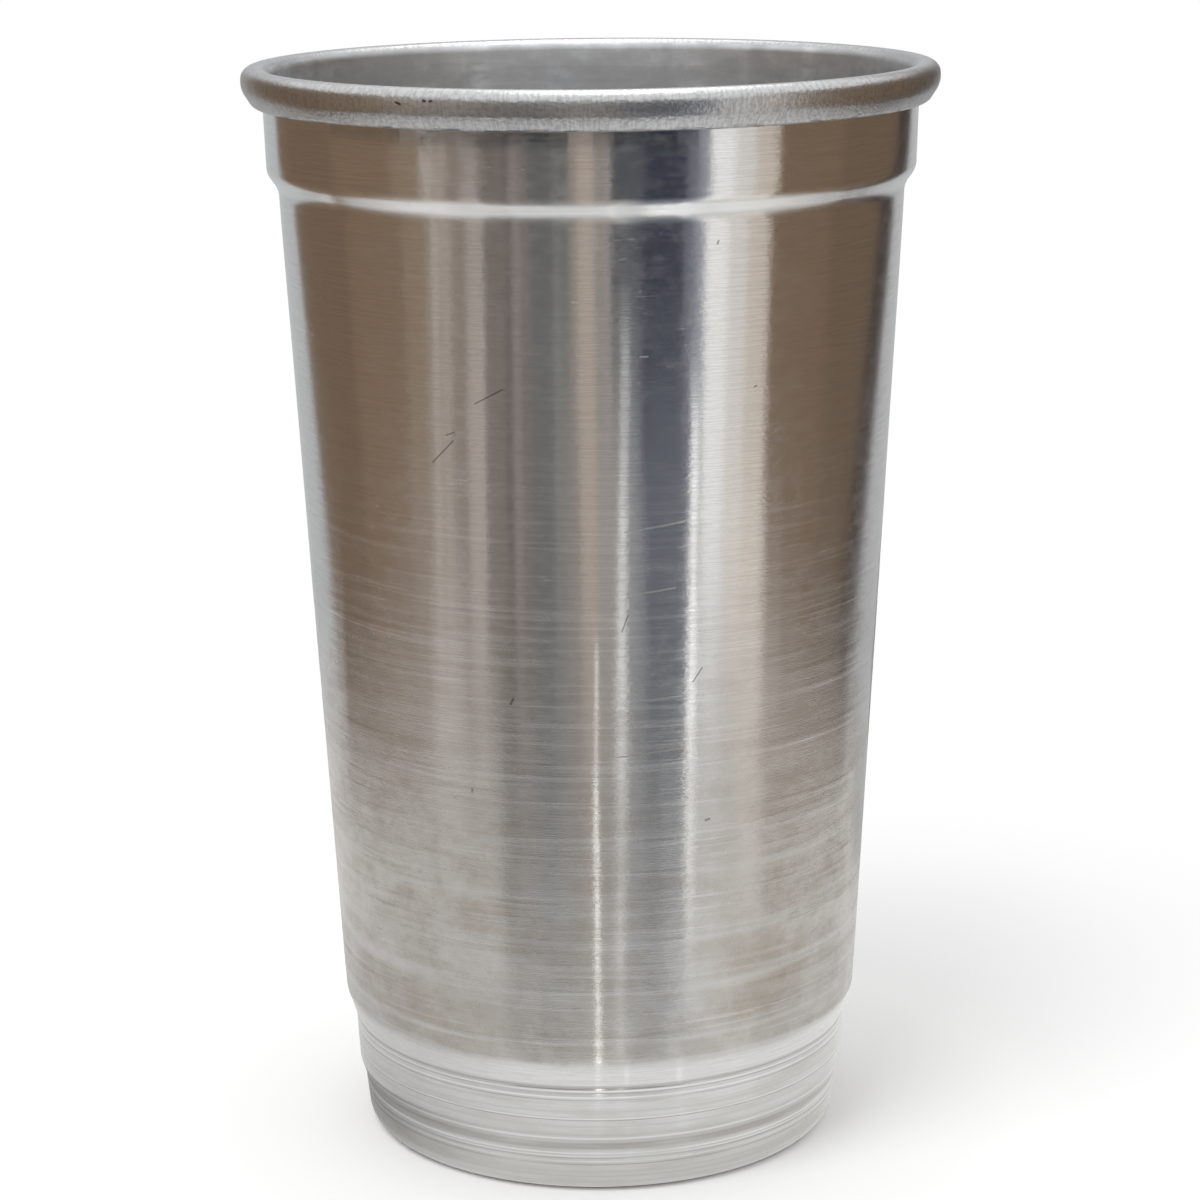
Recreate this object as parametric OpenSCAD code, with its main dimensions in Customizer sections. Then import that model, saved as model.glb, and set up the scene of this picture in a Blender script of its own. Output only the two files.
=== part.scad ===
// Spun aluminium tumbler: one sheet from the middle of the base to the rim, rolled over a wire.
// Millimetres, +Z up, the origin on the axis at the level of the table.

/* [Overall] */
// Height from the table to the crest of the rim
height = 127; // [90:0.5:180]
// Outside diameter of the rolled rim at its widest
rim_d = 80; // [66:0.5:110]
// Thickness of the aluminium sheet
sheet_t = 0.8; // [0.5:0.05:1.1]

/* [Rolled rim] */
// How far the roll stands out from the collar
rim_reach = 2.3; // [1.8:0.05:3]
// Height of the roll, from its crest to its underside
rim_h = 4.45; // [4:0.05:8]
// Width of the flat land along the crest
crest_land = 0.4; // [0.1:0.05:0.8]
// Height of the roll's upright side, from the crest's bend to the corner of the skirt
upright_h = 0.95; // [0.8:0.05:1.6]
// Radius of the bend into the skirt, on the middle of the sheet
skirt_bend = 1.8; // [0.8:0.1:2.4]
// Width of the edge that is tucked under, from the corner of the skirt to the collar
tuck_w = 0.8; // [0.6:0.05:1.2]
// Inside radius of the bend at that corner
tuck_r = 0.15; // [0.05:0.05:0.4]
// Gap between the raw edge of the sheet and the collar
edge_gap = 0.1; // [0.05:0.01:0.2]
// Gap between the wire and the sheet that is rolled over it
wire_gap = 0.05; // [0.02:0.01:0.2]

/* [Collar and shoulder] */
// Height of the collar, from the underside of the roll to the shoulder
collar_h = 7.4; // [3:0.1:20]
// How far the collar opens out, from the shoulder to the rim
collar_flare = 0.35; // [0.05:0.05:1.2]
// How far the wall is set in under the collar
shoulder_in = 1.3; // [0.5:0.05:3]
// Height of the shoulder's slope
shoulder_h = 1.8; // [1.5:0.1:5]
// Radius of the shoulder's two bends, on the middle of the sheet
shoulder_bend = 2.2; // [0.8:0.1:3]

/* [Wall] */
// How far the wall bows out at the middle of its height
wall_bow = 0.22; // [0.02:0.02:1]
// Length of the straight stretch that is left at each end of the wall
wall_end = 4; // [2:0.5:10]

/* [Foot] */
// Height of the step from the foot band to the wall
step_h = 3.1; // [2:0.1:6]
// How far the wall stands out from the foot band
step_out = 1.05; // [0.3:0.05:2]
// Radius of the bend at the top of the step, on the middle of the sheet
step_bend = 3; // [0.8:0.1:5]
// Height of the foot band
foot_h = 5.9; // [3:0.1:12]
// How far the foot band opens out, from its lower edge to the step
foot_flare = 0.35; // [0.05:0.05:1]
// Height of the slope under the foot band
groove_h = 1.8; // [1:0.1:3]
// How far the foot band stands out from the heel
groove_in = 0.6; // [0.2:0.05:1.2]
// Radius of the bends above and below the foot band, on the middle of the sheet
foot_bend = 1; // [0.7:0.1:1.8]

/* [Heel and base] */
// Outside diameter of the heel where it would meet the table
base_d = 56.4; // [46:0.1:62]
// Height of the heel
heel_h = 6; // [5:0.1:12]
// How far the heel opens out, from the table to its top
heel_flare = 0.6; // [0.1:0.05:1.2]
// Outside radius of the rounded edge of the base
base_edge_r = 3; // [1.5:0.1:4.5]
// Width of the ring that the tumbler stands on, up to that rounded edge
stand_w = 3; // [2:0.1:8]
// Depth of the hollow under the base
hollow_z = 1.2; // [0.4:0.1:2.5]
// Width of the slope into that hollow
hollow_slope_w = 3; // [2:0.1:8]
// Radius of the hollow's two bends, on the middle of the sheet
hollow_bend = 2; // [0.8:0.1:3]

/* [Hidden] */
$fn = 144;
// Largest turn in degrees, and largest length, between two points of a bend
bend_step_angle = 9;
bend_step_length = 12;

// Places on the middle of the sheet, from the table up
half_t = sheet_t / 2;
base_r = base_d / 2 - half_t;
stand_r = base_d / 2 - base_edge_r - stand_w;
heel_top_r = base_r + heel_flare;
foot_low = [heel_top_r + groove_in, heel_h + groove_h];
foot_top = foot_low + [foot_flare, foot_h];
wall_low = foot_top + [step_out, step_h];
upright_r = rim_d / 2 - half_t;
collar_r = upright_r - rim_reach;
shoulder_r = collar_r - collar_flare;
shoulder_z = height - rim_h - collar_h;
wall_top = [shoulder_r - shoulder_in, shoulder_z - shoulder_h];
tuck_z = height - rim_h + half_t;
crest_z = height - half_t;

// The two bends of the crest share its width, less the land between them
crest_bend = (rim_reach - crest_land) / 2;

// The wall is one long bend: its corner lies out from the middle by twice the bow
wall_half = norm(wall_top - wall_low) / 2;
wall_up = (wall_top - wall_low) / (2 * wall_half);
wall_corner = (wall_low + wall_top) / 2 + [wall_up[1], -wall_up[0]] * 2 * wall_bow;
wall_bend = (wall_half - wall_end) * wall_half / (2 * wall_bow);

// Outside of the collar at a height, which the raw edge is tucked against
function collar_face(z) = collar_r + half_t - collar_flare * (crest_z - z) / (crest_z - shoulder_z);
edge_r = collar_face(tuck_z) + edge_gap;

// The wire fills the roll from the collar to the upright side, less its gap
wire_r = (rim_reach - sheet_t) / 2 - wire_gap;
wire_centre = [rim_d / 2 - sheet_t - wire_gap - wire_r, height - sheet_t - wire_gap - wire_r];

// The middle of the sheet from the axis to the raw edge: radius, height, bend radius
sheet_line = [
    [0, hollow_z + half_t, 0],
    [stand_r - hollow_slope_w, hollow_z + half_t, hollow_bend],
    [stand_r, half_t, hollow_bend],
    [base_r, half_t, base_edge_r - half_t],
    [heel_top_r, heel_h, foot_bend],
    [foot_low[0], foot_low[1], foot_bend],
    [foot_top[0], foot_top[1], foot_bend],
    [wall_low[0], wall_low[1], step_bend],
    [wall_corner[0], wall_corner[1], wall_bend],
    [wall_top[0], wall_top[1], shoulder_bend],
    [shoulder_r, shoulder_z, shoulder_bend],
    [collar_r, crest_z, crest_bend],
    [upright_r, crest_z, crest_bend],
    [upright_r, crest_z - crest_bend - upright_h, skirt_bend],
    [edge_r + tuck_w, tuck_z, tuck_r + half_t],
    [edge_r, tuck_z, 0]
];
last = len(sheet_line) - 1;

function corner(i) = [sheet_line[i][0], sheet_line[i][1]];
function bend_r(i) = sheet_line[i][2];
function heading(i) = (corner(i + 1) - corner(i)) / norm(corner(i + 1) - corner(i));
function left_of(v) = [-v[1], v[0]];
function turned(v, angle) = [v[0] * cos(angle) - v[1] * sin(angle), v[0] * sin(angle) + v[1] * cos(angle)];

// Signed turn of the line at a corner, and the centre of the bend there
function turn(i) = atan2(cross(heading(i - 1), heading(i)), heading(i - 1) * heading(i));
function setback(i) = bend_r(i) * tan(abs(turn(i)) / 2);
function bend_side(i) = left_of(heading(i - 1)) * sign(turn(i));
function bend_centre(i) = corner(i) - heading(i - 1) * setback(i) + bend_side(i) * bend_r(i);
function bend_length(i) = bend_r(i) * abs(turn(i)) * PI / 180;
function bend_steps(i) = ceil(max(2, abs(turn(i)) / bend_step_angle, bend_length(i) / bend_step_length));

// Points round the bend at a corner, on the face that lies the given offset to the left of the line
function bend_points(i, offset) = [
    for (step = [0 : bend_steps(i)])
        bend_centre(i)
            - turned(bend_side(i), turn(i) * step / bend_steps(i)) * (bend_r(i) - sign(turn(i)) * offset)
];

// One whole face of the sheet, from the axis to the raw edge
function sheet_face(offset) = [
    corner(0) + left_of(heading(0)) * offset,
    for (i = [1 : last - 1]) each bend_points(i, offset),
    corner(last) + left_of(heading(last - 1)) * offset
];
function reversed(points) = [for (i = [len(points) - 1 : -1 : 0]) points[i]];

// The whole cup, from the hollow of its base to the raw edge tucked under the rim
module tumbler_shell() {
    color("silver")
        rotate_extrude()
            polygon(concat(sheet_face(half_t), reversed(sheet_face(-half_t))));
}

// The stiffening wire inside the roll of the rim
module rim_wire() {
    color("darkgray")
        rotate_extrude()
            translate(wire_centre)
                circle(r = wire_r);
}

tumbler_shell();
rim_wire();
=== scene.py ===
import math

import bmesh
import bpy
from mathutils import Matrix, Vector, noise


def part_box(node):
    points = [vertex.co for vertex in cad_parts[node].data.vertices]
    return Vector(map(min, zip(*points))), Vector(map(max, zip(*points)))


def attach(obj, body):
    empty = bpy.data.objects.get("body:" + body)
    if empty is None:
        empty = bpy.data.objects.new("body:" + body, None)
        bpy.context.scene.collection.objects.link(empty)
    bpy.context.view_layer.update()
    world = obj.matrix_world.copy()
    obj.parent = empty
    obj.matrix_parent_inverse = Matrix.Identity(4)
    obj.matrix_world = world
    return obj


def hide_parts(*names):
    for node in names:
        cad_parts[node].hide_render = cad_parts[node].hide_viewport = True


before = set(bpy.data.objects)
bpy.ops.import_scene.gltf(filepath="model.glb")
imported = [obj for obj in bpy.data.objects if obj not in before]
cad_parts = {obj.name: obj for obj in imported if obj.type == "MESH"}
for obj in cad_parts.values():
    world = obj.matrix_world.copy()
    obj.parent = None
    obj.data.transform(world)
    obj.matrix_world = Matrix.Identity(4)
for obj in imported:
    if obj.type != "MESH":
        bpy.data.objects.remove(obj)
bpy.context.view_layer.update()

# Lengths in this script are millimetres, as on the part's drawing, and MM takes them to the frame's metres
MM = 0.001
shell_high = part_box("tumbler_shell")[1]
height = shell_high.z / MM
rim_r = shell_high.x / MM

# Sheet and rolled rim
sheet_t = 0.8
half_t = sheet_t / 2
rim_reach = 2.3
rim_h = 4.45
crest_land = 0.4
upright_h = 0.95
skirt_bend = 1.8
tuck_w = 0.8
tuck_r = 0.15
edge_gap = 0.1

# Collar, shoulder and wall
collar_h = 7.4
collar_flare = 0.35
shoulder_in = 1.3
shoulder_h = 1.8
shoulder_bend = 2.2
wall_bow = 0.22
wall_end = 4.0

# Foot, heel and base
step_h = 3.1
step_out = 1.05
step_bend = 3.0
foot_h = 5.9
foot_flare = 0.35
groove_h = 1.8
groove_in = 0.6
foot_bend = 1.0
base_r = 28.2
heel_h = 6.0
heel_flare = 0.6
base_edge_r = 3.0
stand_w = 3.0
hollow_z = 1.2
hollow_slope_w = 3.0
hollow_bend = 2.0

# Places on the middle of the sheet, from the table up
stand_r = base_r - base_edge_r - stand_w
heel_top_r = base_r - half_t + heel_flare
foot_low = Vector((heel_top_r + groove_in, heel_h + groove_h))
foot_top = foot_low + Vector((foot_flare, foot_h))
wall_low = foot_top + Vector((step_out, step_h))
upright_r = rim_r - half_t
collar_r = upright_r - rim_reach
shoulder_r = collar_r - collar_flare
shoulder_z = height - rim_h - collar_h
wall_top = Vector((shoulder_r - shoulder_in, shoulder_z - shoulder_h))
tuck_z = height - rim_h + half_t
crest_z = height - half_t

# Steps round the axis, and the longest step along the outline on each kind of surface
ROUND_STEPS = 168
PLAIN_STEP = 2.5
BEND_STEP = 0.3
WALL_STEP = 0.5
TURNED_STEP = 0.12

# The fewest steps in a bend, the gap across which vertices are merged, and the radius that counts as the axis
BEND_LEAST_STEPS = 4
MERGE_GAP = 0.001
AXIS_R = 0.01

# Lines turned into the foot and the heel: height, depth and half width
TURNED_LINES = [
    (13.4, 0.045, 0.16),
    (12.75, 0.03, 0.12),
    (11.85, 0.022, 0.12),
    (9.35, 0.02, 0.12),
    (5.2, 0.03, 0.14),
    (4.4, 0.025, 0.12),
    (3.6, 0.02, 0.12),
]

# Unevenness that spinning leaves in the wall: slow waves all over, and ridges where the roller
# ran over the lower half
WAVE_DEPTH = 0.03
WAVE_LENGTH = Vector((20, 20, 26))
RIDGE_DEPTH = 0.02
RIDGE_LENGTH = Vector((55, 55, 1.7))
RIDGES_FROM = 18
RIDGES_FULL = 45
RIDGES_FADE = 62
RIDGES_END = 84


# The spun sheet

def sheet_line():
    """The middle of the sheet from the axis to its raw edge, as corners with bend radii."""
    crest_bend = (rim_reach - crest_land) / 2
    along_wall = wall_top - wall_low
    outward = Vector((along_wall.y, -along_wall.x)).normalized()
    wall_corner = (wall_low + wall_top) / 2 + outward * 2 * wall_bow
    wall_bend = (along_wall.length / 2 - wall_end) * along_wall.length / (4 * wall_bow)
    collar_face = collar_r + half_t - collar_flare * (crest_z - tuck_z) / (crest_z - shoulder_z)
    edge_r = collar_face + edge_gap
    return [
        (Vector((0, hollow_z + half_t)), 0),
        (Vector((stand_r - hollow_slope_w, hollow_z + half_t)), hollow_bend),
        (Vector((stand_r, half_t)), hollow_bend),
        (Vector((base_r - half_t, half_t)), base_edge_r - half_t),
        (Vector((heel_top_r, heel_h)), foot_bend),
        (foot_low, foot_bend),
        (foot_top, foot_bend),
        (wall_low, step_bend),
        (wall_corner, wall_bend),
        (wall_top, shoulder_bend),
        (Vector((shoulder_r, shoulder_z)), shoulder_bend),
        (Vector((collar_r, crest_z)), crest_bend),
        (Vector((upright_r, crest_z)), crest_bend),
        (Vector((upright_r, crest_z - crest_bend - upright_h)), skirt_bend),
        (Vector((edge_r + tuck_w, tuck_z)), tuck_r + half_t),
        (Vector((edge_r, tuck_z)), 0),
    ]


def face_corners(line, offset):
    """The sheet's face at an offset to the left of its middle: corners, setbacks and lengths of bends."""
    corners = []
    for i, (corner, bend) in enumerate(line):
        before = (corner - line[i - 1][0]).normalized() if i else None
        after = (line[i + 1][0] - corner).normalized() if i + 1 < len(line) else before
        before = before or after
        turn = -before.angle_signed(after)
        left_before = Vector((-before.y, before.x))
        left_after = Vector((-after.y, after.x))
        mitre = (left_before + left_after) / (1 + left_before.dot(left_after))
        radius = bend - math.copysign(offset, turn) if bend else 0
        corners.append((corner + mitre * offset, radius * math.tan(abs(turn) / 2), radius * abs(turn)))
    return corners


def draw_outline(bm):
    """Draws the sheet's section in the XZ plane, up its outside and down its inside, and rounds its bends."""
    line = sheet_line()
    outside = face_corners(line, -half_t)
    inside = face_corners(line, half_t)
    corners = outside + inside[::-1]
    wire = [bm.verts.new((place.x, 0, place.y)) for place, setback, length in corners]
    for start, end in zip(wire, wire[1:]):
        bm.edges.new((start, end))
    for i, (vert, (place, setback, length)) in enumerate(zip(wire, corners)):
        if not setback:
            continue
        is_wall = length > shoulder_z / 2
        wall_step = WALL_STEP if i < len(outside) else PLAIN_STEP
        steps = round(length / (wall_step if is_wall else BEND_STEP))
        bmesh.ops.bevel(
            bm, geom=[vert], offset=setback, segments=max(BEND_LEAST_STEPS, steps),
            profile=0.5, affect="VERTICES", material=-1,
        )


def cut_straight_edges(bm):
    """Cuts the outline's straight stretches, finely where the foot and the heel are turned."""
    for edge in bm.edges[:]:
        middle = (edge.verts[0].co + edge.verts[1].co) / 2
        is_turned = middle.z < foot_top.y and middle.x > base_r - base_edge_r and outside_of_sheet(middle)
        cuts = math.ceil(edge.calc_length() / (TURNED_STEP if is_turned else PLAIN_STEP)) - 1
        if cuts > 0:
            bmesh.ops.subdivide_edges(bm, edges=[edge], cuts=cuts)


def outside_of_sheet(place):
    """True on the outer face of the heel, foot, wall and collar, for a place on the outline."""
    if place.z < heel_h:
        middle_r = base_r - half_t
    elif place.z < wall_low.y:
        middle_r = foot_low.x - groove_in * max(0, foot_low.y - place.z) / groove_h
    else:
        share = (place.z - wall_low.y) / (wall_top.y - wall_low.y)
        middle_r = wall_low.x + (wall_top.x - wall_low.x) * share
    return place.x > middle_r


def turn_lines(bm):
    """Sinks the turned lines into the outside of the outline."""
    for vert in bm.verts:
        if vert.co.x < base_r - base_edge_r or not outside_of_sheet(vert.co):
            continue
        for level, depth, half_width in TURNED_LINES:
            vert.co.x -= depth * math.exp(-((vert.co.z - level) / half_width) ** 2)


def walk_outline(bm):
    """The outline's vertices in order, from the axis under the base to the axis inside the cup."""
    order = [min(bm.verts, key=lambda v: (round(v.co.x, 3), v.co.z))]
    came_by = None
    while True:
        onward = [e for e in order[-1].link_edges if e is not came_by]
        if not onward:
            return order
        came_by = onward[0]
        order.append(came_by.other_vert(order[-1]))


def measure_outline(bm):
    """Keeps each vertex's distance along the outline, which the finishes follow, and returns the whole."""
    along = bm.verts.layers.float.new("along")
    order = walk_outline(bm)
    for here, there in zip(order, order[1:]):
        there[along] = here[along] + (there.co - here.co).length
    return order[-1][along]


def smooth_between(value, start, end):
    share = min(1, max(0, (value - start) / (end - start)))
    return share * share * (3 - 2 * share)


def stretched_noise(place, lengths):
    return noise.noise(Vector(part / length for part, length in zip(place, lengths)))


def make_uneven(bm):
    """Gives the wall and collar the slow waves and the roller ridges of a spun sheet, on both its faces."""
    for vert in bm.verts:
        if vert.co.z < foot_top.y or vert.co.z > tuck_z:
            continue
        outward = Vector((vert.co.x, vert.co.y, 0)).normalized()
        fade = smooth_between(vert.co.z, foot_top.y, wall_low.y + wall_end)
        fade *= 1 - smooth_between(vert.co.z, shoulder_z, tuck_z)
        ridges = smooth_between(vert.co.z, RIDGES_FROM, RIDGES_FULL)
        ridges *= 1 - smooth_between(vert.co.z, RIDGES_FADE, RIDGES_END)
        depth = WAVE_DEPTH * stretched_noise(vert.co, WAVE_LENGTH)
        depth += RIDGE_DEPTH * ridges * stretched_noise(vert.co, RIDGE_LENGTH)
        vert.co += outward * depth * fade


def spin_sheet():
    bm = bmesh.new()
    draw_outline(bm)
    cut_straight_edges(bm)
    turn_lines(bm)
    outline_length = measure_outline(bm)
    bmesh.ops.spin(
        bm, geom=bm.verts[:] + bm.edges[:], cent=(0, 0, 0), axis=(0, 0, 1),
        angle=2 * math.pi, steps=ROUND_STEPS, use_merge=True,
    )
    bmesh.ops.remove_doubles(bm, verts=bm.verts[:], dist=MERGE_GAP)
    bmesh.ops.recalc_face_normals(bm, faces=bm.faces[:])
    make_uneven(bm)
    return bm, outline_length


FINISHES = ["brushed_wall", "satin_rim", "turned_foot", "dull_inside"]

# How far faces lean, as the z of their normals: the limits on the inside up to the crest,
# and the least on the floor of the cup
INSIDE_LEANS = (-0.5, 0.6)
FLOOR_LEAN = 0.5


def finish_of(face):
    """The finish of a face, by where it lies and which way it looks."""
    centre = face.calc_center_median()
    looks_inward = face.normal.x * centre.x + face.normal.y * centre.y < 0
    is_upright = INSIDE_LEANS[0] < face.normal.z < INSIDE_LEANS[1]
    is_inside_floor = face.normal.z > FLOOR_LEAN and centre.z < heel_h
    if looks_inward and is_upright or is_inside_floor:
        return "dull_inside"
    if centre.z > height - rim_h:
        return "satin_rim"
    if centre.z < foot_top.y:
        return "turned_foot"
    return "brushed_wall"


def unroll(bm, outline_length):
    """A UV map of the unrolled sheet: u goes round the axis from the back, and v along the outline."""
    along = bm.verts.layers.float["along"]
    uv = bm.loops.layers.uv.new("OFBake")
    for face in bm.faces:
        centre = face.calc_center_median()
        middle_u = math.atan2(centre.x, -centre.y) / (2 * math.pi)
        for loop in face.loops:
            place = loop.vert.co
            u = math.atan2(place.x, -place.y) / (2 * math.pi) if place.xy.length > AXIS_R else middle_u
            u += round(middle_u - u)
            loop[uv].uv = (u + 0.5, loop.vert[along] / outline_length)


def make_tumbler():
    bm, outline_length = spin_sheet()
    unroll(bm, outline_length)
    for face in bm.faces:
        face.smooth = True
        face.material_index = FINISHES.index(finish_of(face))
    bmesh.ops.scale(bm, vec=(MM, MM, MM), verts=bm.verts[:])
    mesh = bpy.data.meshes.new("spun_tumbler")
    bm.to_mesh(mesh)
    bm.free()
    for material in (brushed_wall(), satin_rim(), turned_foot(), dull_inside()):
        mesh.materials.append(material)
    piece = bpy.data.objects.new("spun_tumbler", mesh)
    bpy.context.scene.collection.objects.link(piece)
    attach(piece, "root")
    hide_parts("tumbler_shell")


# Building blocks of the finishes

# The share of a mark's half width, and of a band's, that shows in full, and a quarter of a turn
MARK_CORE = 0.5
BAND_CORE = 0.4
QUARTER_TURN = 0.25


class Finish:
    """A material, metal unless its shader is set otherwise, with short ways to wire what its finish needs.
    Its colour and roughness are plain means, which stand where no pattern is fed in."""

    def __init__(self, name, colour, roughness):
        self.material = bpy.data.materials.new(name)
        self.material.use_nodes = True
        self.tree = self.material.node_tree
        self.shader = self.tree.nodes["Principled BSDF"]
        self.set("Base Color", (*colour, 1))
        self.set("Metallic", 1)
        self.set("Roughness", roughness)

    def set(self, socket, value):
        self.shader.inputs[socket].default_value = value

    def feed(self, socket, source):
        self.tree.links.new(source, self.shader.inputs[socket])

    def node(self, kind, **inputs):
        """A node of a kind, whose named inputs take sources or values."""
        node = self.tree.nodes.new("ShaderNode" + kind)
        for name, value in inputs.items():
            self.give(node.inputs[name.replace("_", " ")], value)
        return node

    def give(self, socket, value):
        if isinstance(value, bpy.types.NodeSocket):
            self.tree.links.new(value, socket)
        else:
            socket.default_value = value

    def math(self, operation, first, second=0.0, third=0.0):
        node = self.tree.nodes.new("ShaderNodeMath")
        node.operation = operation
        for socket, value in zip(node.inputs, (first, second, third)):
            self.give(socket, value)
        return node.outputs[0]

    def spread(self, value, low, high, to_low=0.0, to_high=1.0):
        """A value's stretch from low to high, eased and clamped, taken to another stretch."""
        node = self.node(
            "MapRange", Value=value, From_Min=low, From_Max=high, To_Min=to_low, To_Max=to_high,
        )
        node.interpolation_type = "SMOOTHSTEP"
        return node.outputs["Result"]

    def vector(self, operation, first, second=None, scale=None):
        node = self.tree.nodes.new("ShaderNodeVectorMath")
        node.operation = operation
        self.give(node.inputs[0], first)
        if second is not None:
            self.give(node.inputs[1], second)
        if scale is not None:
            self.give(node.inputs["Scale"], scale)
        return node.outputs["Value" if operation in ("DOT_PRODUCT", "LENGTH") else "Vector"]

    def place(self):
        """Object coordinates in mm: x, y and z."""
        return self.vector("SCALE", self.node("TexCoord").outputs["Object"], scale=1 / MM)

    def height(self):
        return self.node("SeparateXYZ", Vector=self.place()).outputs["Z"]

    def along(self):
        """The distance along the sheet's outline in mm, from the middle of the base."""
        node = self.node("Attribute")
        node.attribute_name = "along"
        return node.outputs["Fac"]

    def sheet_place(self, round_length, along_length):
        """A place on the sheet, counted in a pattern's lengths: round the shoulder, and along the outline."""
        outward = self.vector("NORMALIZE", self.vector("MULTIPLY", self.place(), (1, 1, 0)))
        turns = self.vector("SCALE", outward, scale=shoulder_r / round_length)
        parts = self.node("SeparateXYZ", Vector=turns)
        rise = self.math("DIVIDE", self.along(), along_length)
        return self.node("CombineXYZ", X=parts.outputs["X"], Y=parts.outputs["Y"], Z=rise).outputs["Vector"]

    def noise(self, vector, detail=2.0, roughness=0.5):
        node = self.node("TexNoise", Vector=vector, Scale=1.0, Detail=detail, Roughness=roughness)
        return node.outputs["Fac"]

    def pattern(self, round_length, along_length, detail=2.0, roughness=0.5):
        """Noise on the round sheet, of these lengths in mm."""
        return self.noise(self.sheet_place(round_length, along_length), detail, roughness)

    def add_up(self, *parts, start=0.0):
        """The sum of values, each times its own amount."""
        total = start
        for value, amount in parts:
            total = self.math("MULTIPLY_ADD", value, amount, total)
        return total

    def tint(self, share, first, second):
        """A colour between two, by a share."""
        node = self.tree.nodes.new("ShaderNodeMix")
        node.data_type = "RGBA"
        self.give(node.inputs["Factor"], share)
        colours = [socket for socket in node.inputs if socket.type == "RGBA"]
        for socket, colour in zip(colours, (first, second)):
            self.give(socket, colour if isinstance(colour, bpy.types.NodeSocket) else (*colour, 1))
        return [socket for socket in node.outputs if socket.type == "RGBA"][0]

    def emboss(self, level, depth=1.0):
        """A bump of a level from 0 to 1 over a depth in mm, or of a level that is in mm itself."""
        node = self.node("Bump", Height=level, Strength=1.0, Distance=depth * MM)
        self.feed("Normal", node.outputs["Normal"])

    def scratches(self, marks):
        """1 along straight marks on the front: their ends across and up, and their half widths, in mm."""
        place = self.place()
        flat = self.vector("MULTIPLY", place, (1, 0, 1))
        total = 0.0
        for across, up, to_across, to_up, half_width in marks:
            start = Vector((across, 0, up))
            run = Vector((to_across, 0, to_up)) - start
            offset = self.vector("SUBTRACT", flat, start)
            share = self.vector("DOT_PRODUCT", offset, run / run.length_squared)
            clamped = self.node("Clamp", Value=share).outputs["Result"]
            nearest = self.vector("SCALE", run, scale=clamped)
            gap = self.vector("LENGTH", self.vector("SUBTRACT", offset, nearest))
            mark = self.spread(gap, half_width * MARK_CORE, half_width, 1.0, 0.0)
            total = self.math("MAXIMUM", total, mark)
        is_front = self.math("LESS_THAN", self.node("SeparateXYZ", Vector=place).outputs["Y"], 0.0)
        return self.math("MULTIPLY", total, is_front)

    def rings(self, bands):
        """1 in level bands round the piece: their heights and half widths in mm."""
        level = self.height()
        total = 0.0
        for middle, half_width in bands:
            gap = self.math("ABSOLUTE", self.math("SUBTRACT", level, middle))
            band = self.spread(gap, half_width * BAND_CORE, half_width, 1.0, 0.0)
            total = self.math("MAXIMUM", total, band)
        return total

    def brush_round(self, amount):
        """Blurs reflections up and down, as lines brushed round the axis do."""
        tangent = self.node("Tangent")
        tangent.direction_type = "RADIAL"
        tangent.axis = "Z"
        self.feed("Tangent", tangent.outputs["Tangent"])
        self.set("Anisotropic", amount)
        self.set("Anisotropic Rotation", QUARTER_TURN)


# Finishes

# Marks of use on the front of the wall: from across and up, to across and up, and half width
DARK_SCRATCHES = [
    (-12.8, 93.1, -9.8, 94.8, 0.11),
    (-17.6, 86.2, -15.3, 88.8, 0.11),
    (-16.0, 89.4, -15.1, 89.8, 0.10),
    (2.8, 67.9, 3.5, 69.8, 0.11),
    (10.6, 61.7, 11.6, 63.2, 0.12),
    (13.3, 110.2, 13.4, 110.5, 0.16),
    (17.4, 94.3, 17.6, 94.4, 0.14),
    (-9.2, 60.0, -9.5, 59.4, 0.18),
    (-14.0, 49.0, -14.0, 48.7, 0.16),
    (12.0, 45.3, 12.4, 45.4, 0.18),
]
LIGHT_SCRATCHES = [
    (3.3, 79.1, 9.6, 80.0, 0.11),
    (3.5, 72.0, 8.7, 72.6, 0.11),
    (4.4, 59.8, 9.6, 60.2, 0.10),
    (1.4, 53.4, 9.6, 54.1, 0.11),
    (-2.2, 104.4, -0.1, 104.3, 0.12),
    (5.0, 98.4, 5.8, 98.4, 0.12),
]

# Brown stains on the lower wall, and specks on the rim, given in the same way
BROWN_STAINS = [
    (-20.0, 34.0, -8.0, 32.6, 4.0),
    (-28.0, 25.0, -25.6, 22.0, 4.5),
    (-22.6, 21.0, -15.0, 19.6, 4.0),
    (16.5, 24.2, 20.5, 26.0, 6.0),
]
RIM_SPECKS = [
    (-20.4, 125.5, -20.0, 125.35, 0.17),
    (-17.5, 125.8, -17.3, 125.75, 0.19),
    (-16.8, 125.75, -16.6, 125.8, 0.17),
]

# Level bands on the foot and the heel, for dirt and painted shade, and where the metal is rubbed: height and
# half width
FOOT_DIRT_AND_SHADE = [
    (13.4, 0.15),
    (12.75, 0.10),
    (11.85, 0.10),
    (9.35, 0.08),
    # The wide band in the heel's groove is painted shade; the narrow ones are dirt in the turned lines
    (5.95, 0.65),
    (4.35, 0.10),
    (3.55, 0.10),
]
FOOT_RUBBED = [
    (12.95, 0.14),
    (12.2, 0.12),
    (9.55, 0.10),
    (7.0, 0.20),
    (5.0, 0.12),
    (4.6, 0.12),
    (3.95, 0.12),
]

# The shoulder, where a brighter colour is a painted highlight, in the same way
SHOULDER_HIGHLIGHT_BAND = [
    (114.25, 1.5),
]

# Heights between which the wall's finish starts, where wear, roller marks and the darkening towards the
# bottom fade out above, and where the dirt on the rim's lower edge does
WALL_STARTS = (15.4, 17.4)
WEAR_ENDS = (40, 84)
ROLLING_ENDS = (60, 98)
LOW_DARKENING_ENDS = (20, 30)
RIM_EDGE = (122.7, 123.1)

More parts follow.
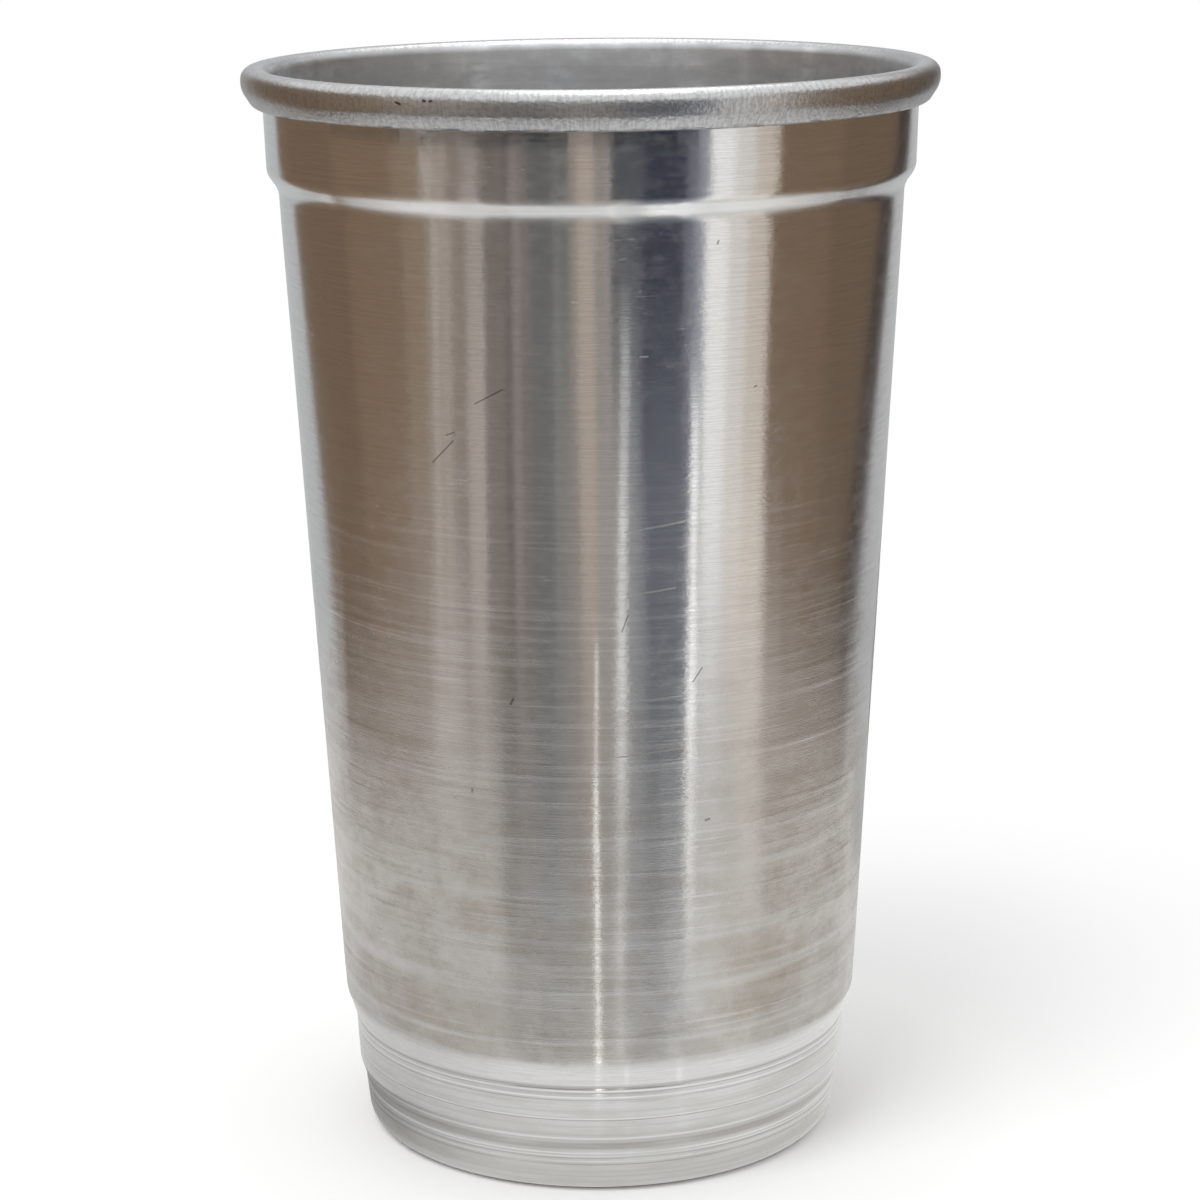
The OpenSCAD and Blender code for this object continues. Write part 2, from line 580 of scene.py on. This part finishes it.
# How strongly marks show
STREAK_SHARE = 0.6
SCRATCH_SHARE = 0.55
DIRT_AND_SHADE_SHARE = 0.38
SCUFF_SHARE = 0.7

# Colours of the metal and of what lies on it
WALL_CLEAN = (0.80, 0.795, 0.785)
WALL_LINED = (0.735, 0.725, 0.715)
WALL_DRAWN = (0.87, 0.86, 0.85)
WALL_WORN = (0.64, 0.63, 0.61)
WALL_CLOUDED = (0.545, 0.52, 0.485)
WALL_DARKER_LOW = (0.48, 0.46, 0.43)
WALL_BROWNED = (0.46, 0.41, 0.35)
WALL_MARKED = (0.65, 0.64, 0.625)
WALL_STREAKED = (0.72, 0.71, 0.695)
# Painted highlight on the shoulder
SHOULDER_PAINTED_HIGHLIGHT = (0.90, 0.90, 0.89)
SCRATCH_DARK = (0.12, 0.11, 0.10)
RIM_LIGHT = (0.64, 0.645, 0.65)
RIM_GREY = (0.50, 0.50, 0.505)
RIM_DIRTY = (0.25, 0.24, 0.23)
SPECK_DARK = (0.13, 0.12, 0.12)
FOOT_CLEAN = (0.675, 0.675, 0.665)
FOOT_CLOUDED = (0.60, 0.585, 0.56)
FOOT_LINED = (0.60, 0.595, 0.58)
FOOT_BRIGHT = (0.80, 0.80, 0.795)
FOOT_DIRT_AND_SHADE_COLOUR = (0.23, 0.205, 0.18)
INSIDE_LIGHT = (0.79, 0.80, 0.81)
INSIDE_GREY = (0.63, 0.635, 0.645)
INSIDE_SCUFFED = (0.50, 0.505, 0.51)
INSIDE_CLOUDED = (0.52, 0.525, 0.535)


def brushed_wall():
    finish = Finish("brushed_wall", (0.78, 0.775, 0.765), 0.2)
    finish.brush_round(1)
    level = finish.height()
    starts = finish.spread(level, *WALL_STARTS)
    worn = finish.math("MULTIPLY", starts, finish.spread(level, *WEAR_ENDS, 1.0, 0.0))
    rolled = finish.math("MULTIPLY", starts, finish.spread(level, *ROLLING_ENDS, 1.0, 0.0))
    hairlines = finish.pattern(7, 0.13)
    hatching = finish.pattern(0.7, 0.13)
    marks = finish.spread(finish.pattern(40, 1.5, 1), 0.50, 0.78)
    clouds = finish.pattern(8, 5, 6, 0.65)
    patches = finish.spread(finish.pattern(3, 5, 3), 0.42, 0.66)
    streaks = finish.spread(finish.pattern(26, 0.5), 0.56, 0.72)
    bands = finish.spread(finish.pattern(30, 1.1), 0.54, 0.70)
    drawn = finish.math("MULTIPLY", finish.math("MAXIMUM", streaks, bands), rolled)
    nicks = finish.spread(finish.pattern(1.8, 0.15), 0.60, 0.74)
    nicks = finish.math("MULTIPLY", nicks, patches)
    haze = finish.spread(finish.pattern(2.2, 1.2, 6, 0.7), 0.42, 0.70)
    stains = finish.spread(clouds, 0.34, 0.60, 0.12, 0.52)
    browned = finish.math("MULTIPLY", finish.scratches(BROWN_STAINS), stains)
    blotches = finish.spread(finish.pattern(4, 3.5, 4, 0.6), 0.32, 0.68, 0.35, 0.85)
    # Darker blotches towards the bottom of the wall
    dirt = finish.math("MULTIPLY", finish.spread(level, *LOW_DARKENING_ENDS, 1.0, 0.0), blotches)
    dark = finish.scratches(DARK_SCRATCHES)
    light = finish.scratches(LIGHT_SCRATCHES)

    smooth = finish.spread(hairlines, 0.35, 0.68, 0.145, 0.185)
    cloudy = finish.spread(clouds, 0.45, 0.75)
    roughness = finish.add_up(
        (worn, 0.05), (cloudy, 0.03), (haze, 0.05), (nicks, 0.07), (drawn, 0.06), (light, 0.25), start=smooth,
    )
    finish.feed("Roughness", roughness)

    lined = finish.spread(finish.add_up((hairlines, 0.7), (hatching, 0.3)), 0.38, 0.62)
    bright = finish.tint(lined, WALL_CLEAN, WALL_LINED)
    bright = finish.tint(finish.math("MULTIPLY", drawn, STREAK_SHARE), bright, WALL_DRAWN)
    stained = finish.tint(finish.spread(clouds, 0.36, 0.68), WALL_WORN, WALL_CLOUDED)
    stained = finish.tint(dirt, stained, WALL_DARKER_LOW)
    stained = finish.tint(browned, stained, WALL_BROWNED)
    marked = finish.tint(marks, stained, WALL_MARKED)
    marked = finish.tint(finish.math("MULTIPLY", streaks, STREAK_SHARE), marked, WALL_STREAKED)
    clean = finish.tint(worn, bright, marked)
    # A brighter band round the shoulder: painted highlight
    clean = finish.tint(finish.rings(SHOULDER_HIGHLIGHT_BAND), clean, SHOULDER_PAINTED_HIGHLIGHT)
    finish.feed("Base Color", finish.tint(finish.math("MULTIPLY", dark, SCRATCH_SHARE), clean, SCRATCH_DARK))

    # Depths in mm of the hairlines, the hatching and the roller's marks
    line_depth = finish.math("MULTIPLY_ADD", worn, 0.010, 0.005)
    hatch_depth = finish.add_up((patches, 0.005), (worn, 0.009), start=0.005)
    mark_depth = finish.add_up((worn, 0.014), (rolled, 0.014))
    finish.emboss(finish.add_up((hairlines, line_depth), (hatching, hatch_depth), (marks, mark_depth)))
    return finish.material


def satin_rim():
    finish = Finish("satin_rim", (0.63, 0.63, 0.625), 0.42)
    strokes = finish.pattern(0.22, 1.6)
    grain = finish.pattern(0.42, 0.36)
    peel = finish.pattern(2, 1.5)
    finish.feed("Roughness", finish.spread(strokes, 0.3, 0.7, 0.31, 0.37))
    speckle = finish.spread(finish.add_up((strokes, 0.5), (grain, 0.5)), 0.40, 0.62)
    clean = finish.tint(speckle, RIM_LIGHT, RIM_GREY)
    lower_edge = finish.spread(finish.height(), *RIM_EDGE, 1.0, 0.0)
    dirt = finish.spread(finish.pattern(2.5, 0.5, 3), 0.52, 0.63)
    soiled = finish.tint(finish.math("MULTIPLY", lower_edge, dirt), clean, RIM_DIRTY)
    finish.feed("Base Color", finish.tint(finish.scratches(RIM_SPECKS), soiled, SPECK_DARK))
    finish.emboss(finish.add_up((strokes, 0.014), (grain, 0.045), (peel, 0.03)))
    return finish.material


def turned_foot():
    finish = Finish("turned_foot", (0.68, 0.675, 0.665), 0.2)
    finish.brush_round(0.8)
    fine = finish.pattern(30, 0.16, 3)
    rings = finish.pattern(200, 0.5)
    clouds = finish.pattern(12, 1.6, 5, 0.6)
    wander = finish.spread(finish.pattern(16, 1.2, 3), 0.3, 0.55, 0.4, 1.0)
    finish.feed("Roughness", finish.spread(fine, 0.3, 0.7, 0.17, 0.23))
    clean = finish.tint(finish.spread(clouds, 0.36, 0.7), FOOT_CLEAN, FOOT_CLOUDED)
    lined = finish.tint(finish.spread(rings, 0.48, 0.66), clean, FOOT_LINED)
    rubbed = finish.math("MULTIPLY", finish.rings(FOOT_RUBBED), wander)
    rubbed = finish.tint(rubbed, lined, FOOT_BRIGHT)
    # Dirt in the turned lines, and painted shade in the heel's groove
    dirt = finish.math("MULTIPLY", finish.rings(FOOT_DIRT_AND_SHADE), finish.math("MULTIPLY", wander, DIRT_AND_SHADE_SHARE))
    finish.feed("Base Color", finish.tint(dirt, rubbed, FOOT_DIRT_AND_SHADE_COLOUR))
    finish.emboss(finish.add_up((fine, 0.016), (rings, 0.04)))
    return finish.material


def dull_inside():
    finish = Finish("dull_inside", (0.6, 0.6, 0.6), 0.45)
    streaks = finish.pattern(4, 40, 3)
    cloud = finish.pattern(11, 9, 5, 0.65)
    scuffs = finish.spread(finish.pattern(4.5, 1.8, 4, 0.6), 0.38, 0.66)
    finish.feed("Roughness", finish.spread(cloud, 0.3, 0.7, 0.38, 0.52))
    clean = finish.tint(finish.spread(streaks, 0.38, 0.62), INSIDE_LIGHT, INSIDE_GREY)
    scuffed = finish.tint(finish.math("MULTIPLY", scuffs, SCUFF_SHARE), clean, INSIDE_SCUFFED)
    finish.feed("Base Color", finish.tint(finish.spread(cloud, 0.40, 0.75), scuffed, INSIDE_CLOUDED))
    finish.emboss(finish.pattern(14, 0.5), 0.012)
    return finish.material


def drawn_wire():
    finish = Finish("drawn_wire", (0.7, 0.7, 0.7), 0.4)
    lines = finish.noise(finish.place(), 3)
    finish.feed("Roughness", finish.spread(lines, 0.3, 0.7, 0.32, 0.48))
    return finish.material


# The stage

# Where most cards stand and end, how high others lie over the floor, and the steps of curved ones in degrees
CARD_DISTANCE = 170
CARD_TOP = 230
FLOOR_CARD_LIFT = 0.3
CARD_STEP_ANGLE = 2


def card(name, start, end, colour, distance=CARD_DISTANCE, top=CARD_TOP, lean=0, splay=0, bottom=0):
    """A curved card round the tumbler, between two azimuths in degrees: 0 is in front, and + to the right.
    The lean turns its upper edge further round, and the splay spreads its lower edge to the sides."""
    bm = card_grid(end - start)
    for vert in bm.verts:
        level = bottom + (top - bottom) * vert.co.y
        azimuth = start + (end - start) * vert.co.x + lean * vert.co.y
        azimuth *= 1 + splay * (CARD_LEVEL - level)
        vert.co = ring_place(azimuth, distance, level)
    stage_card(bm, name, glowing(name, colour))


def floor_card(name, inner, outer, colour, left_colour=None, start=0, end=360, lift=FLOOR_CARD_LIFT):
    """A ring that lies on the floor, or a stretch of one, between two distances from the axis."""
    bm = card_grid(end - start)
    for vert in bm.verts:
        azimuth = start + (end - start) * vert.co.x
        vert.co = ring_place(azimuth, inner + (outer - inner) * vert.co.y, lift)
    stage_card(bm, name, glowing(name, colour, left_colour))


def card_grid(angle):
    """A grid from 0 to 1 both ways, cut across for its angle in degrees."""
    bm = bmesh.new()
    bmesh.ops.create_grid(bm, x_segments=max(1, round(angle / CARD_STEP_ANGLE)), y_segments=1, size=0.5)
    bmesh.ops.translate(bm, vec=(0.5, 0.5, 0), verts=bm.verts[:])
    return bm


def ring_place(azimuth, distance, level):
    azimuth = math.radians(azimuth)
    return Vector((distance * math.sin(azimuth), -distance * math.cos(azimuth), level))


def sky_card():
    """A level lit card over the tumbler."""
    bm = bmesh.new()
    bmesh.ops.create_grid(bm, x_segments=1, y_segments=1, size=0.5)
    bmesh.ops.scale(bm, vec=(SKY_WIDTH, SKY_DEPTH, 1), verts=bm.verts[:])
    bmesh.ops.translate(bm, vec=SKY_PLACE, verts=bm.verts[:])
    stage_card(bm, "card_sky", glowing("card_sky", [SKY_BRIGHTNESS] * 3))


def stage_card(bm, name, material):
    """Stands a card where only mirroring surfaces see it."""
    bmesh.ops.scale(bm, vec=(MM, MM, MM), verts=bm.verts[:])
    mesh = bpy.data.meshes.new(name)
    bm.to_mesh(mesh)
    bm.free()
    piece = bpy.data.objects.new(name, mesh)
    bpy.context.scene.collection.objects.link(piece)
    mesh.materials.append(material)
    piece.visible_camera = False
    piece.visible_diffuse = False
    piece.visible_shadow = False


def glowing(name, colour, left_colour=None):
    """A plain glow, or one that goes over to another colour on the left of the axis."""
    finish = Finish(name, colour, 1)
    glow = finish.node("Emission", Color=(*colour, 1))
    if left_colour:
        across = finish.node("SeparateXYZ", Vector=finish.place()).outputs["X"]
        share = finish.spread(across, *FLOOR_DARKENS)
        finish.give(glow.inputs["Color"], finish.tint(share, colour, left_colour))
    finish.tree.nodes.remove(finish.shader)
    finish.tree.links.new(glow.outputs["Emission"], finish.tree.nodes["Material Output"].inputs["Surface"])
    return finish.material


# Cards that the polished wall mirrors, from behind on the left round to behind on the right:
# azimuths, colour and height
CARDS = [
    ("card_left_umber", -140, -92, (0.187, 0.130, 0.088), 200),
    ("card_left_brown", -92, -66, (0.222, 0.154, 0.103), 200),
    ("card_left_tan", -66, -54, (0.27, 0.20, 0.14), 200),
    ("card_right_white", 33.6, 45, (0.94, 0.94, 0.93), 190),
    ("card_right_cream", 45, 52, (0.74, 0.72, 0.69), 190),
    ("card_right_beige", 52, 60.8, (0.62, 0.55, 0.48), 190),
    ("card_right_brown", 60.8, 88, (0.195, 0.134, 0.088), 205),
    ("card_right_umber", 88, 160, (0.165, 0.117, 0.079), 205),
    ("card_back_grey", 160, 185, (0.30, 0.30, 0.305), 230),
    ("card_back_pale", 185, 210, (0.62, 0.62, 0.62), 230),
]

# Cards behind the tumbler's sides, a little in front of those: azimuths, colour, distance and lean
SIDE_CARDS = [
    ("card_left_pale", -150, -118, (0.52, 0.53, 0.54), 168, -27),
    ("card_right_dark", 101, 118, (0.06, 0.045, 0.04), 168, 46),
    ("card_right_pale", 115, 150, (0.50, 0.505, 0.515), 167, 46),
]

# Cards that stand nearer, so that the wall mirrors them further down: azimuths and colour.
# Those on the left splay out below this level
CARD_LEVEL = 85
LEFT_SPLAY = 0.0021
LEFT_DISTANCE = 145
LEFT_TOP = 180
LEFT_CARDS = [
    ("card_left_sand", -55.2, -52.6, (0.31, 0.26, 0.22)),
    ("card_left_beige", -52.6, -50.4, (0.46, 0.40, 0.345)),
    ("card_left_thread", -50.4, -49, (0.31, 0.26, 0.225)),
    ("card_left_fawn", -49, -45.9, (0.39, 0.335, 0.29)),
    ("card_left_taupe", -45.9, -40.4, (0.26, 0.215, 0.185)),
    ("card_left_cream", -40.4, -34.7, (0.44, 0.385, 0.345)),
]
FRONT_DISTANCE = 118
FRONT_TOP = 150
FRONT_CARDS = [
    ("card_front_taupe", -34, -27.4, (0.215, 0.185, 0.165)),
    ("card_front_stripe", -27.4, -24.8, (0.155, 0.135, 0.13)),
    ("card_front_rose", -24.8, -22.4, (0.285, 0.245, 0.225)),
    ("card_front_mauve", -22.4, -19, (0.195, 0.175, 0.165)),
    ("card_front_grey", -19, -12, (0.162, 0.162, 0.16)),
    ("card_front_silver", -12, -9.9, (0.245, 0.245, 0.24)),
    ("card_front_ash", -9.9, -7, (0.20, 0.20, 0.196)),
    ("card_front_tan", -7, -4.6, (0.30, 0.262, 0.23)),
    ("card_front_beige", -4.6, 0.6, (0.46, 0.39, 0.335)),
    ("card_front_umber", 0.6, 4, (0.29, 0.265, 0.245)),
    ("card_front_thread", 4, 5.4, (0.36, 0.335, 0.315)),
    ("card_front_slate", 5.4, 15.5, (0.10, 0.105, 0.12)),
    ("card_front_navy", 15.5, 27.8, (0.042, 0.049, 0.082)),
    ("card_front_indigo", 27.8, 31.3, (0.13, 0.14, 0.17)),
    ("card_front_blue", 31.3, 34.8, (0.26, 0.275, 0.32)),
]

# Low cards before those, where the wall mirrors a paler foreground: azimuths, colour, distance and height
LOW_CARDS = [
    ("card_low_tan", -9.9, -4.6, (0.285, 0.26, 0.235), 116, 66),
    ("card_low_umber", 0.6, 5.4, (0.365, 0.345, 0.325), 116, 66),
    ("card_low_sand", 5.4, 9.5, (0.35, 0.33, 0.31), 116, 72),
    ("card_low_pale", 9.5, 14, (0.32, 0.325, 0.335), 116, 72),
    ("card_low_slate", 14, 17, (0.27, 0.28, 0.30), 116, 60),
    ("card_low_navy", 17, 28.4, (0.135, 0.148, 0.175), 116, 72),
    ("card_low_tawny", -84, -77, (0.255, 0.19, 0.14), 166, 30),
    ("card_low_bronze", -77, -70, (0.275, 0.215, 0.17), 166, 36),
    ("card_low_fawn", -70, -62, (0.31, 0.255, 0.21), 166, 42),
    ("card_low_cream", -63, -48, (0.62, 0.575, 0.535), 143, 24),
    ("card_low_beige", 46, 64, (0.84, 0.775, 0.705), 166, 36),
    ("card_low_brown", 64, 72, (0.42, 0.36, 0.31), 166, 28),
    ("card_low_russet", 72, 82, (0.28, 0.225, 0.18), 166, 24),
    ("card_low_left", -160, -34, (0.77, 0.75, 0.73), 100, 22),
    ("card_low_right", 52, 125, (0.82, 0.785, 0.74), 100, 22),
    ("card_low_left_edge", -155, -117, (0.70, 0.705, 0.71), 166, 16),
    ("card_low_right_edge", 116, 155, (0.62, 0.625, 0.63), 165, 12),
]

# Darker upper parts of the cards in front, which the collar mirrors: azimuths, colour, distance and levels
HIGH_CARDS = [
    ("card_high_cream", -40.4, -34.7, (0.28, 0.245, 0.22), 143, 92, 112),
    ("card_high_taupe", -34, -27.4, (0.13, 0.11, 0.10), 117, 92, 108),
    ("card_high_grey", -19, -7, (0.095, 0.095, 0.095), 117, 92, 108),
    ("card_high_slate", 5.4, 15.5, (0.058, 0.062, 0.074), 117, 83, 108),
    ("card_high_navy", 15.5, 27.8, (0.022, 0.024, 0.038), 117, 83, 108),
]

# Dark cards close under the rim, which the collar's upper edge and the lip mirror as painted shade under the
# rolled rim: azimuths and colour
SHADE_DISTANCE = 42
SHADE_BOTTOM = 120.4
SHADE_TOP = 122.2
RIM_SHADES = [
    ("shade_brown", -56, -39.8, (0.15, 0.107, 0.073)),
    ("shade_tan", -39.8, -37, (0.11, 0.087, 0.073)),
    ("shade_cream", -37, -32.4, (0.20, 0.175, 0.155)),
    ("shade_taupe", -32.4, -28.4, (0.085, 0.073, 0.065)),
    ("shade_fawn", -28.4, -23.8, (0.155, 0.135, 0.12)),
    ("shade_mauve", -23.8, -16, (0.07, 0.062, 0.06)),
    ("shade_grey", -16, -7.6, (0.024, 0.024, 0.026)),
    ("shade_ash", -7.6, -4.1, (0.065, 0.06, 0.055)),
    ("shade_beige", -4.1, 0.2, (0.24, 0.20, 0.175)),
    ("shade_umber", 0.2, 4.1, (0.09, 0.077, 0.068)),
    ("shade_navy", 4.1, 15.6, (0.016, 0.017, 0.024)),
    ("shade_blue", 15.6, 19.6, (0.07, 0.075, 0.09)),
]

# Lit strips close to the wall, which draw its upright highlights:
# azimuths, brightness, distance, levels and lean
STRIPS = [
    ("strip_right", 5.2, 7.4, 0.8, 61, 40, 78, 1.36),
    ("strip_right_high", 6.56, 8.76, 0.5, 61, 78, 96, 0.64),
    ("strip_right_low", 5.1, 7.0, 1.0, 60, 4, 56, 1.6),
    ("strip_far_right", 26.6, 28.7, 1.15, 61, 40, 86, -0.6),
    ("strip_far_right_low", 27.1, 29.0, 1.55, 60, 22, 62, -0.5),
    ("strip_right_end", 5.3, 6.3, 1.5, 40, 10, 11.5, 0),
    ("strip_middle_high", -0.72, -0.22, 1.1, 40, 47, 64, 0.55),
    ("strip_middle", -0.72, -0.22, 2.4, 40, 12.2, 47, 0),
    ("strip_middle_end", -1.4, 0.4, 3.0, 40, 10, 12.2, 0),
]

# Rings on the floor, for what the foot, the lower wall and the underside of the rim mirror: distances,
# and colours on the right and on the left. One goes over to the other between these places across
# The darker left of the inner rings is painted shade, which the heel and the foot mirror on their left
FLOOR_DARKENS = (-12, -42)
FLOOR_CARDS = [
    ("card_floor_heel", 24, 34, (0.77, 0.765, 0.75), (0.17, 0.16, 0.15)),
    ("card_floor_near", 34, 48, (0.85, 0.85, 0.84), (0.66, 0.66, 0.66)),
    ("card_floor_shoulder", 48, 56, (1.08, 1.08, 1.075), (0.96, 0.96, 0.96)),
    ("card_floor_middle", 56, 92, (0.81, 0.81, 0.805), (0.77, 0.77, 0.765)),
    ("card_floor_outer", 92, 106, (0.80, 0.80, 0.795), (0.84, 0.84, 0.835)),
    ("card_floor_wide", 106, 150, (0.53, 0.53, 0.53), (0.57, 0.57, 0.565)),
    ("card_floor_far", 150, 230, (0.58, 0.58, 0.58), (0.34, 0.315, 0.295)),
]

# Stretches of floor over those: azimuths, distances and brightness. The wide ones lie before the lower wall,
# and the turned lines of the foot catch the narrow ones
STRETCH_LIFT = 0.5
FLOOR_STRETCHES = [
    ("card_floor_dim", -66, -30, 71, 106, 0.65),
    ("card_floor_dusk", -30, -20, 71, 106, 0.63),
    ("card_floor_dark", -20, 3, 71, 106, 0.57),
    ("card_floor_shade", 3, 23, 71, 106, 0.57),
    ("card_floor_light", 23, 48, 57, 106, 0.90),
    ("card_floor_left", -150, -66, 50, 74, 0.70),
    ("card_floor_right", 56, 150, 51, 62, 0.82),
    ("glint_middle", -1.3, -0.6, 35, 46, 1.0),
    ("glint_right", 7.6, 8.6, 35, 46, 0.99),
    ("glint_far_right", 24.2, 26.0, 35, 46, 0.98),
]

# The card overhead, which the upper side of the rim mirrors
SKY_WIDTH = 170
SKY_DEPTH = 420
SKY_PLACE = (25, 110, 420)
SKY_BRIGHTNESS = 2.35

# The floor, which keeps its shadow up to one distance from the axis and is white from another
FLOOR_SIZE = 6000
FLOOR_COLOUR = (0.91, 0.91, 0.91)
FLOOR_ROUGHNESS = 0.9
FLOOR_KEEPS_SHADOW = 55
FLOOR_IS_WHITE = 150

# The room's light on surfaces, and the lamp: its place round the tumbler's middle in degrees and mm,
# its size and its power
ROOM_LIGHT = 0.96
LAMP_AZIMUTH = -35
LAMP_ELEVATION = 55
LAMP_DISTANCE = 900
LAMP_SIZE = 500
LAMP_POWER = 3.3

# The camera that the photograph's rim, wall and base lead back to, in degrees and mm
CAMERA_PITCH = 13.459
CAMERA_YAW = 0.0726
CAMERA_ROLL = -0.567
CAMERA_PLACE = Vector((0, -387.0, 156.1))
CAMERA_LENS = 100.27
CAMERA_SENSOR = 36
CAMERA_NEAR = 10


def make_cards():
    for name, start, end, colour, top in CARDS:
        card(name, start, end, colour, top=top)
    for name, start, end, colour, distance, lean in SIDE_CARDS:
        card(name, start, end, colour, distance, lean=lean)
    for name, start, end, colour in LEFT_CARDS:
        card(name, start, end, colour, LEFT_DISTANCE, LEFT_TOP, splay=LEFT_SPLAY)
    for name, start, end, colour in FRONT_CARDS:
        card(name, start, end, colour, FRONT_DISTANCE, FRONT_TOP, splay=LEFT_SPLAY if end < 0 else 0)
    for name, start, end, colour, distance, top in LOW_CARDS:
        card(name, start, end, colour, distance, top)
    for name, start, end, colour, distance, bottom, top in HIGH_CARDS:
        card(name, start, end, colour, distance, top, bottom=bottom)
    for name, start, end, colour in RIM_SHADES:
        card(name, start, end, colour, SHADE_DISTANCE, SHADE_TOP, bottom=SHADE_BOTTOM)
    for name, start, end, brightness, distance, bottom, top, lean in STRIPS:
        card(name, start, end, [brightness] * 3, distance, top, lean, bottom=bottom)
    for name, inner, outer, colour, left_colour in FLOOR_CARDS:
        floor_card(name, inner, outer, colour, left_colour)
    for name, start, end, inner, outer, brightness in FLOOR_STRETCHES:
        floor_card(name, inner, outer, [brightness] * 3, start=start, end=end, lift=STRETCH_LIFT)
    sky_card()


def seen_directly(tree):
    """1 for what the camera sees, also in a mirror or through glass, and 0 for light on a surface."""
    path = tree.nodes.new("ShaderNodeLightPath")
    total = path.outputs["Is Camera Ray"]
    for ray in ("Is Glossy Ray", "Is Transmission Ray"):
        either = tree.nodes.new("ShaderNodeMath")
        either.operation = "MAXIMUM"
        tree.links.new(total, either.inputs[0])
        tree.links.new(path.outputs[ray], either.inputs[1])
        total = either.outputs[0]
    return total


def make_floor():
    bm = bmesh.new()
    bmesh.ops.create_grid(bm, x_segments=1, y_segments=1, size=FLOOR_SIZE * MM)
    mesh = bpy.data.meshes.new("floor")
    bm.to_mesh(mesh)
    bm.free()
    piece = bpy.data.objects.new("floor", mesh)
    bpy.context.scene.collection.objects.link(piece)
    mesh.materials.append(pale_floor())


def pale_floor():
    """A pale floor that keeps the shadow near the tumbler and is plain white further off."""
    finish = Finish("pale_floor", FLOOR_COLOUR, FLOOR_ROUGHNESS)
    finish.set("Metallic", 0)
    distance = finish.vector("LENGTH", finish.place())
    far_off = finish.spread(distance, FLOOR_KEEPS_SHADOW, FLOOR_IS_WHITE)
    white = finish.node("Emission")
    mix = finish.node("MixShader")
    finish.give(mix.inputs[0], finish.math("MULTIPLY", far_off, seen_directly(finish.tree)))
    finish.give(mix.inputs[1], finish.shader.outputs["BSDF"])
    finish.give(mix.inputs[2], white.outputs["Emission"])
    finish.give(finish.tree.nodes["Material Output"].inputs["Surface"], mix.outputs["Shader"])
    return finish.material


def make_world():
    """An even white room, which is plain white where it is seen."""
    world = bpy.data.worlds.new("studio")
    world.use_nodes = True
    tree = world.node_tree
    background = tree.nodes["Background"]
    background.inputs["Color"].default_value = (1, 1, 1, 1)
    strength = tree.nodes.new("ShaderNodeMapRange")
    strength.inputs["To Min"].default_value = ROOM_LIGHT
    tree.links.new(seen_directly(tree), strength.inputs["Value"])
    tree.links.new(strength.outputs["Result"], background.inputs["Strength"])
    bpy.context.scene.world = world


def make_lamp():
    """A soft lamp for the floor and the shadow on it. The metal mirrors the room and the cards instead."""
    elevation = math.radians(LAMP_ELEVATION)
    level_distance = LAMP_DISTANCE * math.cos(elevation)
    middle = Vector((0, 0, height / 2))
    place = middle + ring_place(LAMP_AZIMUTH, level_distance, LAMP_DISTANCE * math.sin(elevation))
    data = bpy.data.lights.new("softbox", "AREA")
    data.shape = "DISK"
    data.size = LAMP_SIZE * MM
    data.energy = LAMP_POWER
    lamp = bpy.data.objects.new("softbox", data)
    lamp.location = place * MM
    lamp.rotation_euler = (middle - place).to_track_quat("-Z", "Y").to_euler()
    lamp.visible_glossy = False
    bpy.context.scene.collection.objects.link(lamp)


def make_camera():
    pitch = math.radians(CAMERA_PITCH)
    yaw = math.radians(CAMERA_YAW)
    roll = math.radians(CAMERA_ROLL)
    forward = Vector((math.sin(yaw) * math.cos(pitch), math.cos(yaw) * math.cos(pitch), -math.sin(pitch)))
    level = forward.cross(Vector((0, 0, 1))).normalized()
    upright = level.cross(forward)
    right = math.cos(roll) * level + math.sin(roll) * upright
    up = math.cos(roll) * upright - math.sin(roll) * level
    data = bpy.data.cameras.new("camera")
    data.sensor_width = CAMERA_SENSOR
    data.lens = CAMERA_LENS
    data.clip_start = CAMERA_NEAR * MM
    camera = bpy.data.objects.new("camera", data)
    turn = Matrix((right, up, -forward)).transposed().to_4x4()
    camera.matrix_world = Matrix.Translation(CAMERA_PLACE * MM) @ turn
    bpy.context.scene.collection.objects.link(camera)
    bpy.context.scene.camera = camera


make_tumbler()
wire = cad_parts["rim_wire"]
wire.data.materials.clear()
wire.data.materials.append(drawn_wire())

make_camera()
make_floor()
make_world()
make_lamp()
make_cards()

bpy.context.scene.view_settings.view_transform = "Standard"
